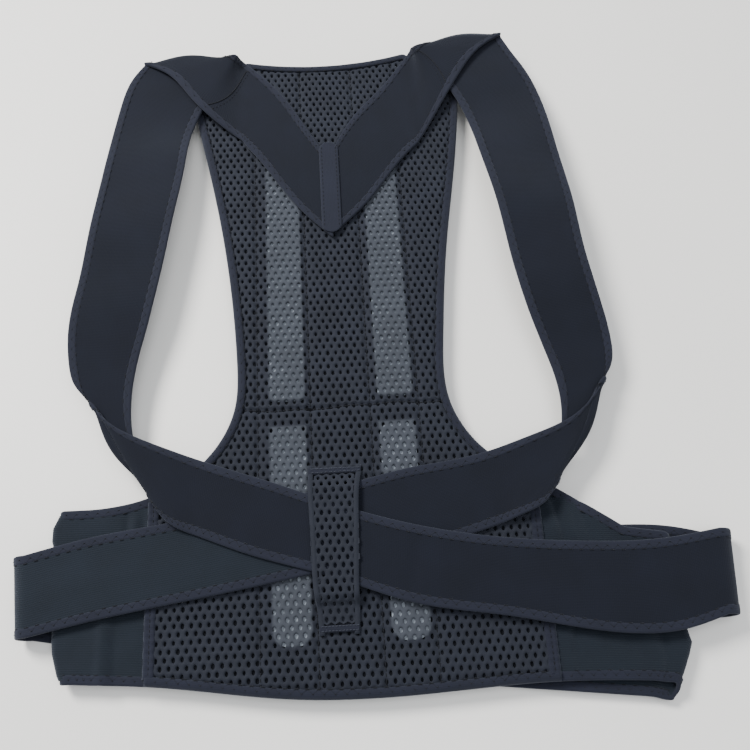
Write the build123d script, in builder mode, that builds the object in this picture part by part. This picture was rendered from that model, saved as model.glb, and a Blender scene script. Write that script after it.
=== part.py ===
"""Back brace (posture corrector), lying on its front with the wings and strap ends folded under it.

Millimetres. X runs across the back, Y up the spine, Z out of the back.
Origin: the spine line at mid-height of the waist belt, in the plane of the face that meets the wearer.
"""

import os
from math import cos, radians, sin

from build123d import *

# ---- driving dimensions ----
BINDING_WIDTH = 5.5
SEAM_Y = 120.0  # the lumbar seam, between the upper and the lumbar panel
SEAM_GAP = 0.4
LEFT_SEAM_X = -122.0  # where the mesh meets the elastic of the belt
RIGHT_SEAM_X = 118.0
LEFT_FOLD_X = -177.0  # where the belt folds back into a wing
RIGHT_FOLD_X = 196.0
FOLD_CLEARANCE = 0.3

LINING_Z = (0.0, 1.2)
FOAM_Z = (1.2, 3.2)
MESH_Z = (3.2, 5.2)
BINDING_Z = (0.0, 5.7)
BELT_Z = (1.2, 3.6)
BELT_BINDING_Z = (1.0, 3.8)
WING_Z = (-4.0, -1.6)
WING_BINDING_Z = (-4.2, -1.4)
SEAM_TAPE_Z = (5.2, 5.8)
PATCH_THICKNESS = 0.8
BELT_FOLD_AXIS_Z = (BELT_Z[0] + WING_Z[1]) / 2
BELT_FOLD_RADII = (BELT_Z[0] - BELT_FOLD_AXIS_Z, BELT_Z[1] - BELT_FOLD_AXIS_Z)

STAY_WIDTH = 23.0
STAY_THICKNESS = 1.6
STAY_X = (-36.0, 35.0)
UPPER_STAY_Y = (126.0, 330.0)
LOWER_STAY_Y = (-30.0, 108.0)
STAY_CORNERS = {"upper": 4.0, "lower": 9.0}
SLOT_CLEARANCE = 0.5

STRAP_THICKNESS = 2.2
TAPE_THICKNESS = 2.4
TAPE_SHARE = 0.11  # of the strap's width, for the tape bound over each edge
UNDER_Z = 7.1  # middle of the strap that lies next to the panel
OVER_Z = 9.6  # middle of the strap that crosses over it
TAIL_Z = -7.2  # middle of the strap ends under the wings
LEFT_STRAP_FOLD_X = 228.0  # the left shoulder's strap ends at the right of the waist
RIGHT_STRAP_FOLD_X = -198.0
HOOK_PAD_THICKNESS = 0.9
KEEPER_THICKNESS = 1.6
TURN_STEP = 30  # degrees between the sections of a fold

UP = (0, 0, 1)
DOWN = (0, 0, -1)


# ---- helpers ----
def fold(edge_a, edge_b, axis_z, radius, outward, from_top):
    """Sections of a half turn about a fold line, as (edge a, edge b, face normal)."""
    sections = []
    for step in range(0, 180 + TURN_STEP, TURN_STEP):
        angle = radians(step if from_top else 180 - step)
        normal = (outward[0] * sin(angle), outward[1] * sin(angle), cos(angle))
        shift = Vector(*normal) * radius + Vector(0, 0, axis_z)
        sections.append((Vector(*edge_a) + shift, Vector(*edge_b) + shift, normal))
    return sections


def run(rows, normal=UP):
    """Sections of a flat stretch, from rows of (x, y of edge a, x, y of edge b, height)."""
    return [(Vector(ax, ay, z), Vector(bx, by, z), normal) for ax, ay, bx, by, z in rows]


def lay_band(sections, thickness, start=0.0, end=1.0):
    """Lofts a band from section to section, over the share of their width from start to end."""
    faces = []
    for edge_a, edge_b, normal in sections:
        width = edge_b - edge_a
        middle = edge_a + width * ((start + end) / 2)
        across = Plane(middle, x_dir=width, z_dir=width.cross(Vector(*normal)))
        with BuildSketch(across) as section:
            Rectangle(width.length * (end - start), thickness)
        faces.append(section.sketch.face())
    add([loft(pair, ruled=True, mode=Mode.PRIVATE) for pair in zip(faces, faces[1:])])


def extrude_between(levels):
    """Extrudes the pending sketch, drawn at the lower level, up to the higher one."""
    extrude(amount=levels[1] - levels[0])


def finish(name, part):
    """Labels a finished piece and writes its STEP file."""
    part.label = name
    export_step(part, f"parts/{name}.step")


os.makedirs("parts", exist_ok=True)

# ---- outlines, seen from behind the wearer ----
BAND = 2 * BINDING_WIDTH  # the outline runs this far past each belt fold, and is cut there
with BuildSketch() as silhouette:
    with BuildLine():
        ThreePointArc((-62, 408), (0, 401.5), (61, 410))
        Line((61, 410), (100, 372))
        Spline(
            (100, 372), (92.5, 315), (78.5, 233), (70.5, 165), (71, 120), (90, 86), (131, 58),
            (156, 41.5),
        )
        Line((156, 41.5), (172, 30))
        Line((172, 30), (RIGHT_FOLD_X + BAND, 24))
        Line((RIGHT_FOLD_X + BAND, 24), (RIGHT_FOLD_X + BAND, -64))
        Spline(
            (RIGHT_FOLD_X + BAND, -64), (112, -58.5), (40, -61), (-40, -59), (-117, -48),
            (LEFT_FOLD_X - BAND, -43),
        )
        Line((LEFT_FOLD_X - BAND, -43), (LEFT_FOLD_X - BAND, 61))
        Spline(
            (LEFT_FOLD_X - BAND, 61), (-128, 65), (-88, 90), (-71, 121), (-69, 155), (-81, 267),
            (-100, 361),
        )
        Line((-100, 361), (-62, 408))
    make_face()
with BuildSketch() as inside:
    add(silhouette.sketch)
    offset(amount=-BINDING_WIDTH)
inside_face = inside.sketch.face().to_splines()  # a STEP file can't hold the offset curves
with BuildSketch() as edging:
    add(silhouette.sketch)
    add(inside_face, mode=Mode.SUBTRACT)

# The regions of the back, as (lowest x, y), (highest x, y).
UPPER_REGION = ((-150, SEAM_Y + SEAM_GAP), (150, 500))
LUMBAR_REGION = ((LEFT_SEAM_X, -100), (RIGHT_SEAM_X, SEAM_Y - SEAM_GAP))
LEFT_BELT_REGION = ((LEFT_FOLD_X, -100), (LEFT_SEAM_X, 150))
RIGHT_BELT_REGION = ((RIGHT_SEAM_X, -100), (RIGHT_FOLD_X, 150))
NECKLINE_REGION = ((-150, 340), (150, 500))
LEFT_SIDE_REGION = ((LEFT_SEAM_X, 20), (-20, 340))
RIGHT_SIDE_REGION = ((20, 20), (RIGHT_SEAM_X, 340))
HEM_REGION = ((LEFT_SEAM_X, -100), (RIGHT_SEAM_X, 20))


def region(low, high):
    """Keeps what the pending sketch holds between two corners."""
    with Locations(((low[0] + high[0]) / 2, (low[1] + high[1]) / 2)):
        Rectangle(high[0] - low[0], high[1] - low[1], mode=Mode.INTERSECT)


def make_layer(name, sketch, limits, levels, slots=()):
    """A flat layer of the back, with slots for the stays as (x, lowest y, highest y)."""
    with BuildPart() as layer:
        with BuildSketch(Plane.XY.offset(levels[0])):
            add(sketch)
            region(*limits)
            for x, low, high in slots:
                with Locations((x, (low + high) / 2)):
                    Rectangle(
                        STAY_WIDTH + 2 * SLOT_CLEARANCE,
                        high - low + 2 * SLOT_CLEARANCE,
                        mode=Mode.SUBTRACT,
                    )
        extrude_between(levels)
    finish(name, layer.part)


# ---- back panel: lining, foam and spacer mesh, above and below the lumbar seam ----
upper_slots = [(x, *UPPER_STAY_Y) for x in STAY_X]
lower_slots = [(x, *LOWER_STAY_Y) for x in STAY_X]
for panel, limits, slots in (
    ("upper_back", UPPER_REGION, upper_slots),
    ("lumbar", LUMBAR_REGION, lower_slots),
):
    make_layer(f"{panel}_lining", inside_face, limits, LINING_Z)
    make_layer(f"{panel}_foam", inside_face, limits, FOAM_Z, slots)
    make_layer(f"{panel}_mesh", inside_face, limits, MESH_Z)

# ---- edge bindings ----
for name, limits, levels in (
    ("neckline_binding", NECKLINE_REGION, BINDING_Z),
    ("left_side_binding", LEFT_SIDE_REGION, BINDING_Z),
    ("right_side_binding", RIGHT_SIDE_REGION, BINDING_Z),
    ("hem_binding", HEM_REGION, BINDING_Z),
    ("left_belt_binding", LEFT_BELT_REGION, BELT_BINDING_Z),
    ("right_belt_binding", RIGHT_BELT_REGION, BELT_BINDING_Z),
):
    make_layer(name, edging.sketch, limits, levels)

# ---- elastic sides of the belt ----
make_layer("left_belt_elastic", inside_face, LEFT_BELT_REGION, BELT_Z)
make_layer("right_belt_elastic", inside_face, RIGHT_BELT_REGION, BELT_Z)

# ---- stays in the slots of the foam ----
for part_of_back, levels_y in (("upper", UPPER_STAY_Y), ("lower", LOWER_STAY_Y)):
    for side, x in zip(("left", "right"), STAY_X):
        with BuildPart() as stay:
            with BuildSketch(Plane.XY.offset(FOAM_Z[0])):
                with Locations((x, sum(levels_y) / 2)):
                    Rectangle(STAY_WIDTH, levels_y[1] - levels_y[0])
            extrude(amount=STAY_THICKNESS)
            fillet(stay.edges().filter_by(Axis.Z), radius=STAY_CORNERS[part_of_back])
        finish(f"{part_of_back}_stay_{side}", stay.part)

# ---- tapes over the seams ----
with BuildPart() as lumbar_seam_tape:
    with BuildSketch(Plane.XY.offset(SEAM_TAPE_Z[0])):
        with Locations((0, SEAM_Y)):
            Rectangle(126, 9)
    extrude_between(SEAM_TAPE_Z)
finish("lumbar_seam_tape", lumbar_seam_tape.part)

GATHER_WIDTH = 7.0
for name, x, low, high in (
    ("left_gather_tape", LEFT_SEAM_X + 4, -41, 60),
    ("right_gather_tape", RIGHT_SEAM_X - 4, -52, 57),
):
    with BuildPart() as gather_tape:
        with BuildSketch(Plane.XY.offset(SEAM_TAPE_Z[0])):
            with Locations((x, (low + high) / 2)):
                Rectangle(GATHER_WIDTH, high - low)
        extrude_between(SEAM_TAPE_Z)
    finish(name, gather_tape.part)

with BuildPart() as yoke_center_tape:
    with BuildSketch(Plane.XY.offset(UNDER_Z + TAPE_THICKNESS / 2 + 0.1)):
        with Locations((-1, 288)):
            SlotOverall(77, 14, rotation=90)
    extrude(amount=1.2)
finish("yoke_center_tape", yoke_center_tape.part)

# ---- mesh keeper that holds both straps to the lumbar panel ----
KEEPER_LOW = MESH_Z[1] + KEEPER_THICKNESS / 2
KEEPER_HIGH = OVER_Z + TAPE_THICKNESS / 2 + 0.2 + KEEPER_THICKNESS / 2
keeper_rows = [
    (-24, 80, 10, 79, KEEPER_LOW),
    (-24, 75.5, 10, 75.5, KEEPER_LOW),
    (-24, 69.5, 9, 69.5, 9.5),
    (-24, 62, 8, 62, KEEPER_HIGH),
    (-22, -2, 5, -2, KEEPER_HIGH),
    (-21, -9, 5, -9, KEEPER_LOW),
    (-20, -25, 4, -25, KEEPER_LOW),
]
with BuildPart() as keeper_loop:
    lay_band(run(keeper_rows), KEEPER_THICKNESS)
finish("keeper_loop", keeper_loop.part)

# ---- straps: edge a is the lower or outer edge at the shoulder, edge b the other ----
# The left shoulder's strap runs over the other one and ends at the right of the waist.
left_yoke = run(
    [
        (-0.4, 246, -0.4, 311, UNDER_Z),
        (-24, 272, -9, 327, UNDER_Z),
        (-50, 312, -24, 355, UNDER_Z),
        (-62, 329, -42, 383, UNDER_Z),
        (-67.3, 335, -61, 404, UNDER_Z),
    ]
)
right_yoke = run(
    [
        (0.4, 250, 0.4, 317, UNDER_Z),
        (24, 273, 10, 336, UNDER_Z),
        (50, 307, 28, 361, UNDER_Z),
        (62, 320, 44, 379, UNDER_Z),
        (67.6, 327, 60.8, 402.5, UNDER_Z),
    ]
)

SHOULDER_RADIUS = 2.0
HIP_RADIUS = 2.0
SHOULDER_Z = 13.5  # axis of the fold over the shoulder
HIP_Z = 10.5  # axis of the fold beside the waist
left_loop = (
    run(
        [
            (-68.4, 336, -62.1, 404.5, UNDER_Z),
            (-97.5, 363, -66.5, 406, 14.4),
            (-118, 390, -69, 406.5, 15.4),
        ]
    )
    + fold((-138, 403), (-72, 406), SHOULDER_Z, SHOULDER_RADIUS, (-0.05, 1), from_top=True)
    + run(
        [
            (-147, 390, -84, 378, 10.8),
            (-153.5, 370, -96, 354, 10.4),
            (-162.4, 309, -104.6, 308, 15),
            (-168.7, 257, -112.5, 257, 18),
            (-175.5, 210, -121.8, 205, 17),
            (-179.7, 179, -129.3, 173, 14),
            (-177.9, 153, -135, 147, 10.5),
            (-172.5, 140, -136, 112, 9),
        ],
        DOWN,
    )
    + fold((-164, 129), (-123.5, 66.5), HIP_Z, HIP_RADIUS, (-0.84, -0.54), from_top=False)
    + run(
        [
            (-151, 115.5, -117.5, 55.5, 12.6),
            (-123, 99.5, -106.5, 44.5, 11.5),
            (-90.8, 86, -94.8, 39, OVER_Z),
        ]
    )
)
right_loop = (
    run(
        [
            (68.8, 328, 61.9, 403, UNDER_Z),
            (99, 377, 66, 406, 14.4),
            (118, 402, 70, 408, 15.4),
        ]
    )
    + fold((137, 416), (75, 410), SHOULDER_Z, SHOULDER_RADIUS, (-0.1, 0.99), from_top=True)
    + run(
        [
            (146, 394, 86, 382, 10.8),
            (155.3, 372, 97, 358, 10.4),
            (164.2, 312, 107.9, 311, 16),
            (169.2, 255, 116.2, 257, 20),
            (172.4, 209, 122.6, 205, 19),
            (178.7, 175, 129.9, 171, 15),
            (181.3, 150, 137.5, 144, 10.5),
            (179, 137, 142, 112, 9),
        ],
        DOWN,
    )
    + fold((174, 127.5), (131, 57.5), HIP_Z, HIP_RADIUS, (0.85, -0.52), from_top=False)
    + run(
        [
            (157, 108.5, 125, 48.5, 12.6),
            (122, 91.5, 107, 39.5, 10.5),
            (90.8, 82.5, 95.2, 35.5, UNDER_Z),
        ]
    )
)
left_waist_run = run(
    [
        (-89.8, 85.5, -93.8, 38.5, OVER_Z),
        (-45, 69, -58, 24, OVER_Z),
        (-8, 54, -12, 9, OVER_Z),
        (40, 38, 36, -9, OVER_Z),
        (99, 26, 94, -20.5, OVER_Z),
        (149, 21, 144, -31.5, OVER_Z),
        (196, 20.5, 194, -34.5, OVER_Z),
        (LEFT_STRAP_FOLD_X, 24.5, LEFT_STRAP_FOLD_X, -27, OVER_Z),
    ]
)
right_waist_run = run(
    [
        (89.8, 82, 94.2, 35, UNDER_Z),
        (42, 75, 50, 24, UNDER_Z),
        (0, 66.5, 6, 16.5, UNDER_Z),
        (-40, 60, -33, 10, UNDER_Z),
        (-112, 48, -105, -1, UNDER_Z),
        (-157, 42, -152, -8, UNDER_Z),
        (RIGHT_STRAP_FOLD_X, 33.5, RIGHT_STRAP_FOLD_X, -16, UNDER_Z),
    ]
)
left_tail = run(
    [
        (LEFT_STRAP_FOLD_X - FOLD_CLEARANCE, 24.5, LEFT_STRAP_FOLD_X - FOLD_CLEARANCE, -27, TAIL_Z),
        (205, 30.5, 205, -22, TAIL_Z),
        (154, 34, 154, -17.5, TAIL_Z),
        (80, 40, 80, -11, TAIL_Z),
    ]
)
right_tail = run(
    [
        (RIGHT_STRAP_FOLD_X + FOLD_CLEARANCE, 33.5, RIGHT_STRAP_FOLD_X + FOLD_CLEARANCE, -16, TAIL_Z),
        (-62, 11, -62, -39, TAIL_Z),
    ]
)
for name, sections in (
    ("left_strap_yoke", left_yoke),
    ("right_strap_yoke", right_yoke),
    ("left_strap_loop", left_loop),
    ("right_strap_loop", right_loop),
    ("left_strap_waist_run", left_waist_run),
    ("right_strap_waist_run", right_waist_run),
    ("left_strap_tail", left_tail),
    ("right_strap_tail", right_tail),
):
    with BuildPart() as webbing:
        lay_band(sections, STRAP_THICKNESS, TAPE_SHARE, 1 - TAPE_SHARE)
    finish(name, webbing.part)
    with BuildPart() as edge_tapes:
        lay_band(sections, TAPE_THICKNESS, 0, TAPE_SHARE)
        lay_band(sections, TAPE_THICKNESS, 1 - TAPE_SHARE, 1)
    finish(f"{name}_binding", edge_tapes.part)

# ---- strap folds past the ends of the belt, which open with the wings ----
for name, x, run_z, edge_a, edge_b, outward in (
    ("left_strap_fold", LEFT_STRAP_FOLD_X, OVER_Z, 24.5, -27, (1, 0)),
    ("right_strap_fold", RIGHT_STRAP_FOLD_X, UNDER_Z, 33.5, -16, (-1, 0)),
):
    with BuildPart() as strap_fold:
        radius = (run_z - TAIL_Z) / 2
        turn = fold((x, edge_a), (x, edge_b), (run_z + TAIL_Z) / 2, radius, outward, from_top=True)
        lay_band(turn, STRAP_THICKNESS)
    finish(name, strap_fold.part)

# ---- hook pads on the strap ends, which grip the outer face of the wings ----
for name, rows in (
    ("left_strap_hook_pad", [(150, 28, 150, -11, 0), (86, 33, 86, -4.5, 0)]),
    ("right_strap_hook_pad", [(-130, 16, -130, -21, 0), (-68, 5.5, -68, -32, 0)]),
):
    pad_z = TAIL_Z + (STRAP_THICKNESS + HOOK_PAD_THICKNESS) / 2
    with BuildPart() as hook_pad:
        lay_band(run([(*row[:4], pad_z) for row in rows]), HOOK_PAD_THICKNESS)
    finish(name, hook_pad.part)

# ---- belt folds: half turns of elastic at each end of the belt, which open with the wings ----
for name, x, low, high, outward in (
    ("left_belt_fold", LEFT_FOLD_X, -43, 60.5, (-1, 0)),
    ("right_belt_fold", RIGHT_FOLD_X, -64, 25.5, (1, 0)),
):
    with BuildPart() as belt_fold:
        turn = fold((x, low), (x, high), BELT_FOLD_AXIS_Z, sum(BELT_FOLD_RADII) / 2, outward, True)
        lay_band(turn, BELT_FOLD_RADII[1] - BELT_FOLD_RADII[0])
    finish(name, belt_fold.part)

# ---- wings: the belt's ends, folded in under the back ----
WING_CORNER = 14.0
for side, fold_x, corners in (
    ("left", LEFT_FOLD_X + FOLD_CLEARANCE, [(-187, 61.5), (-12, 45), (-12, -46), (-187, -43)]),
    ("right", RIGHT_FOLD_X - FOLD_CLEARANCE, [(207, 20), (12, 45), (12, -50), (207, -74)]),
):
    with BuildSketch() as wing_outline:
        with BuildLine():
            Polyline(*corners, close=True)
        make_face()
        inner_corners = wing_outline.vertices().filter_by_position(Axis.X, -20, 20)
        fillet(inner_corners, radius=WING_CORNER)
    with BuildSketch() as wing_inside:
        add(wing_outline.sketch)
        offset(amount=-BINDING_WIDTH)
    with BuildSketch() as wing_edging:
        add(wing_outline.sketch)
        add(wing_inside.sketch, mode=Mode.SUBTRACT)
    limits = ((min(fold_x, 0), -100), (max(fold_x, 0), 100))
    make_layer(f"{side}_wing", wing_inside.sketch, limits, WING_Z)
    make_layer(f"{side}_wing_binding", wing_edging.sketch, limits, WING_BINDING_Z)

# ---- closure at the front of the waist ----
for name, x, z in (
    ("left_wing_hook_patch", -50, WING_Z[1]),
    ("right_wing_loop_patch", 50, WING_Z[0] - PATCH_THICKNESS),
):
    with BuildPart() as patch:
        with BuildSketch(Plane.XY.offset(z)):
            with Locations((x, -2)):
                RectangleRounded(52, 68, 8)
        extrude(amount=PATCH_THICKNESS)
    finish(name, patch.part)
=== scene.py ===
"""Back brace, laid flat with its outer face up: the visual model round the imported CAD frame."""

from math import atan2, cos, pi, radians, sin

import bpy
import numpy as np
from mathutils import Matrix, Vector


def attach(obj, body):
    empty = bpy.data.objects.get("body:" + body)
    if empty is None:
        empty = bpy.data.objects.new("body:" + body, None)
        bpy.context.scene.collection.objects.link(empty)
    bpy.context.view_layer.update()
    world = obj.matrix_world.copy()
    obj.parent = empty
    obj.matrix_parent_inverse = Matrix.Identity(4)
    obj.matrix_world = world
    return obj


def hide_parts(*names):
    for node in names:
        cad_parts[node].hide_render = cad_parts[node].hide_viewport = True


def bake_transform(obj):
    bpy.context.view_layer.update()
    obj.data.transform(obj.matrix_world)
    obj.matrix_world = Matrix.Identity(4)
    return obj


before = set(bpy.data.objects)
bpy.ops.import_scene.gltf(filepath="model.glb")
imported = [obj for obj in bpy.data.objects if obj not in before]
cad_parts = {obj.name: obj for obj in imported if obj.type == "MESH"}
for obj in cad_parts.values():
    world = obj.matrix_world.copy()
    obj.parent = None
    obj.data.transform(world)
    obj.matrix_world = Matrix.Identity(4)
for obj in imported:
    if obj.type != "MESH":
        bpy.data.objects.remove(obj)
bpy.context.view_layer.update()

MM = 0.001
UP = np.array([0.0, 0.0, 1.0])

# ---- the brace's own dimensions, in millimetres ----
FLOOR_Z = -8.4
SEAM_Y = 120.0  # the lumbar seam
LEFT_SEAM_X, RIGHT_SEAM_X = -122.0, 118.0  # where mesh and elastic meet
LEFT_FOLD_X, RIGHT_FOLD_X = -177.0, 196.0  # where the belt folds back into its wings
STAY_X = (-36.0, 35.0)
STAY_WIDTH = 23.0
UPPER_STAYS, LOWER_STAYS = (126.0, 330.0), (-30.0, 108.0)  # their ends, in y
CHANNEL_SEAMS = (-55.5, -21.0, 18.0, 50.0)
UNDER_Z, OVER_Z, TAIL_Z = 7.1, 9.6, -7.2  # the middle of the lower strap, the upper one and the tails
STITCH_PITCH = 6.6
TAPE_STEP = STITCH_PITCH / 4
HOLE_PITCH, HOLE_ROW = 5.2, 4.8  # between the mesh's holes, across and up
KEEPER_PITCH, KEEPER_ROW = 5.0, 4.7


# ---- small numeric helpers ----
def cubic(values, at, where):
    """A natural cubic spline through values at the given parameters, read at other parameters."""
    values = np.asarray(values, float)
    step = np.diff(at)
    size = len(at)
    left = np.eye(size)
    right = np.zeros_like(values)
    for i in range(1, size - 1):
        left[i, i - 1 : i + 2] = step[i - 1], 2 * (step[i - 1] + step[i]), step[i]
        rise = (values[i + 1] - values[i]) / step[i] - (values[i] - values[i - 1]) / step[i - 1]
        right[i] = 6 * rise
    bend = np.linalg.solve(left, right)
    k = np.clip(np.searchsorted(at, where, side="right") - 1, 0, size - 2)
    width = step[k]
    b = (where - at[k]) / width
    a = 1 - b
    curve = (a**3 - a)[:, None] * bend[k] + (b**3 - b)[:, None] * bend[k + 1]
    return a[:, None] * values[k] + b[:, None] * values[k + 1] + curve * (width**2)[:, None] / 6


def chord(points):
    """The distance along a polyline at each of its points."""
    return np.concatenate([[0.0], np.cumsum(np.linalg.norm(np.diff(points, axis=0), axis=1))])


def even_steps(length, step, least=2):
    """Distances from 0 to a length, evenly spaced and about a step apart."""
    return np.linspace(0, length, max(least, int(round(length / step)) + 1))


def read_at(where, at, values):
    """Rows of values known at the distances at, read between them."""
    return np.stack([np.interp(where, at, values[:, k]) for k in range(values.shape[1])], -1)


def through(points, step=1.5):
    """A smooth line through the points."""
    points = np.array(points, float)
    at = chord(points)
    return cubic(points, at, even_steps(at[-1], step))


def straight(a, b, step=1.5):
    a, b = np.array(a, float), np.array(b, float)
    count = len(even_steps(np.linalg.norm(b - a), step))
    return a + (b - a) * np.linspace(0, 1, count)[:, None]


def arc(a, middle, b, step=1.5):
    """The arc through three points."""
    (ax, ay), (bx, by), (cx, cy) = a, middle, b
    a2, b2, c2 = ax**2 + ay**2, bx**2 + by**2, cx**2 + cy**2
    d = 2 * (ax * (by - cy) + bx * (cy - ay) + cx * (ay - by))
    ux = (a2 * (by - cy) + b2 * (cy - ay) + c2 * (ay - by)) / d
    uy = (a2 * (cx - bx) + b2 * (ax - cx) + c2 * (bx - ax)) / d
    radius = np.hypot(ax - ux, ay - uy)
    first, last = atan2(ay - uy, ax - ux), atan2(cy - uy, cx - ux)
    turn = np.linspace(first, last, max(2, int(abs(last - first) * radius / step) + 1))
    return np.stack([ux + radius * np.cos(turn), uy + radius * np.sin(turn)], 1)


def joined(*lines):
    """Polylines end to end, without their shared points."""
    kept = [lines[0]]
    for line in lines[1:]:
        kept.append(line[1:] if np.linalg.norm(line[0] - kept[-1][-1]) < 0.01 else line)
    return np.concatenate(kept)


def respaced(line, step):
    """A polyline at even steps."""
    at = chord(line)
    return read_at(even_steps(at[-1], step), at, line)


def softened(line, rounds):
    """A polyline with its corners eased and its ends kept."""
    line = line.copy()
    for _ in range(rounds):
        line[1:-1] = (line[:-2] + 2 * line[1:-1] + line[2:]) / 4
    return line


def smoothstep(x, low, high):
    """A smooth rise from 0 at low to 1 at high."""
    t = np.clip((np.asarray(x, float) - low) / (high - low), 0, 1)
    return t * t * (3 - 2 * t)


def bell(x, centre, width):
    """A bump of height 1 round a centre."""
    return np.exp(-(((x - centre) / width) ** 2))


def unit(v):
    return v / np.maximum(np.linalg.norm(v, axis=-1, keepdims=True), 1e-9)


def drift(x, y, seed, scale):
    """A smooth wandering value between about -1 and 1, the same on every run."""
    rng = np.random.default_rng(seed)
    total = 0.0
    for _ in range(6):
        angle, phase = rng.uniform(0, 2 * pi, 2)
        rate = rng.uniform(0.6, 1.7) * 2 * pi / scale
        total = total + np.sin((x * cos(angle) + y * sin(angle)) * rate + phase)
    return total / 3.5


def inside(outline, points):
    """Whether each point is inside a closed outline."""
    x, y = points[:, 0], points[:, 1]
    within = np.zeros(len(points), bool)
    following = np.roll(outline, -1, axis=0)
    for (ax, ay), (bx, by) in zip(outline, following):
        if ay == by:
            continue
        crosses = (ay > y) != (by > y)
        within ^= crosses & (x < (bx - ax) * (y - ay) / (by - ay) + ax)
    return within


def edge_distance(outline, points):
    """How far each point is from a closed outline."""
    near = np.full(len(points), 1e9)
    following = np.roll(outline, -1, axis=0)
    for a, b in zip(outline, following):
        d = b - a
        length = float(d @ d)
        if length < 1e-9:
            continue
        t = np.clip(((points - a) @ d) / length, 0, 1)
        near = np.minimum(near, np.linalg.norm(points - a - t[:, None] * d, axis=1))
    return near


# ---- meshes ----
def make_piece(name, points, faces, material, cloth=None, extra=None):
    """A mesh object from points in millimetres, with the cloth's own directions as an attribute."""
    mesh = bpy.data.meshes.new(name)
    points = np.asarray(points, float)
    faces = np.asarray(faces, np.int32)
    corners = faces.shape[1]
    mesh.vertices.add(len(points))
    mesh.vertices.foreach_set("co", (points * MM).astype(np.float32).ravel())
    mesh.loops.add(faces.size)
    mesh.loops.foreach_set("vertex_index", faces.ravel())
    mesh.polygons.add(len(faces))
    mesh.polygons.foreach_set("loop_start", np.arange(0, faces.size, corners, dtype=np.int32))
    mesh.polygons.foreach_set("loop_total", np.full(len(faces), corners, np.int32))
    mesh.update(calc_edges=True)
    if cloth is not None:
        vectors = np.zeros((len(points), 3), np.float32)
        vectors[:, :2] = np.asarray(cloth) * MM
        mesh.attributes.new("cloth", "FLOAT_VECTOR", "POINT").data.foreach_set("vector", vectors.ravel())
    for key, values in (extra or {}).items():
        data = mesh.attributes.new(key, "FLOAT", "POINT").data
        data.foreach_set("value", np.asarray(values, np.float32))
    mesh.polygons.foreach_set("use_smooth", np.full(len(mesh.polygons), True))
    mesh.validate()
    piece = bpy.data.objects.new(name, mesh)
    bpy.context.collection.objects.link(piece)
    mesh.materials.append(material)
    return piece


def held(body, slot, *pieces):
    """Fixes pieces to one body; slot is not used."""
    for piece in pieces:
        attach(piece, body)


def grid_faces(rows, columns, close_columns=False, close_rows=False):
    """Quads of a grid of points, row after row."""
    r = np.arange(rows if close_rows else rows - 1)
    c = np.arange(columns if close_columns else columns - 1)
    r, c = (g.ravel() for g in np.meshgrid(r, c, indexing="ij"))
    r2, c2 = (r + 1) % rows, (c + 1) % columns
    return np.stack([r * columns + c, r * columns + c2, r2 * columns + c2, r2 * columns + c], 1)


def tube_faces(rows, columns):
    """Quads of a tube of closed sections, row after row, with a cap of quads over each end."""
    faces = grid_faces(rows, columns, close_columns=True)
    k = np.arange(columns // 2 - 1)
    cap = np.stack([k, k + 1, columns - 2 - k, columns - 1 - k], 1)
    return np.concatenate([faces, cap[:, ::-1], cap + (rows - 1) * columns])


class Band:
    """A strip of cloth as sections from edge a to edge b, with its face's normal at each."""

    def __init__(self, edge_a, edge_b, normal):
        self.a, self.b, self.n = edge_a, edge_b, normal
        self.at = chord((edge_a + edge_b) / 2)
        self.width = np.linalg.norm(edge_b - edge_a, axis=1)
        self.across = unit(edge_b - edge_a)
        self.n = unit(normal - (normal * self.across).sum(1, keepdims=True) * self.across)
        self.lift = lambda u, s, w: np.zeros(np.broadcast(u, s, w).shape)
        self.swells = []
        self.fold_line = None

    def spaced(self, step):
        """The same band with sections at even steps."""
        where = even_steps(self.at[-1], step)
        a, b, n = (read_at(where, self.at, v) for v in (self.a, self.b, self.n))
        band = Band(a, b, unit(n))
        band.at = where
        band.lift, band.swells, band.fold_line = self.lift, self.swells, self.fold_line
        return band

    def part(self, first, last):
        """The sections between two distances along the band."""
        keep = (self.at >= first - 1e-6) & (self.at <= last + 1e-6)
        band = Band(self.a[keep], self.b[keep], self.n[keep])
        band.at = self.at[keep]
        band.lift, band.swells = self.lift, self.swells
        return band

    def swell(self, u, s, w):
        """How far the cloth between the tapes stands out at the folds, as a shift in x, y and z."""
        share = np.clip((s / w - 0.12) / 0.76, 0, 1)
        across = np.sin(pi * share) ** 1.2
        total = 0.0
        for place, reach, way, amount in self.swells:
            amounts = amount * bell(u, place, reach) * across
            total = total + amounts[..., None] * np.array([way[0], way[1], 0.0])
        return total

    def point(self, u, s, height):
        """Points at distances u along and s across from edge a, at a height over the middle."""
        a, b, n = (read_at(u, self.at, v) for v in (self.a, self.b, self.n))
        n = unit(n)
        w = np.linalg.norm(b - a, axis=-1)
        c = (b - a) / w[..., None]
        total = height + self.lift(u, s, w)
        placed = a + c * np.asarray(s)[..., None] + n * np.asarray(total)[..., None]
        return placed + self.swell(u, s, w)


FOLD_REACH = 26.0  # how far a belt's fold draws the cloth before it


def pulled(points, fold_line):
    """Points of a belt side, with its fold drawn in or out of line along its height.

    fold_line holds the shifts as (y, shift), the way out, and the fold's x."""
    if fold_line is None:
        return points
    shift, way, fold_x = fold_line
    before = np.clip((fold_x - points[..., 0]) * way / FOLD_REACH, 0, 1)
    share = (1 - before) ** 2 * (1 + 2 * before)
    points = points.copy()
    points[..., 0] += way * share * np.interp(points[..., 1], *shift)
    return points


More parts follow.
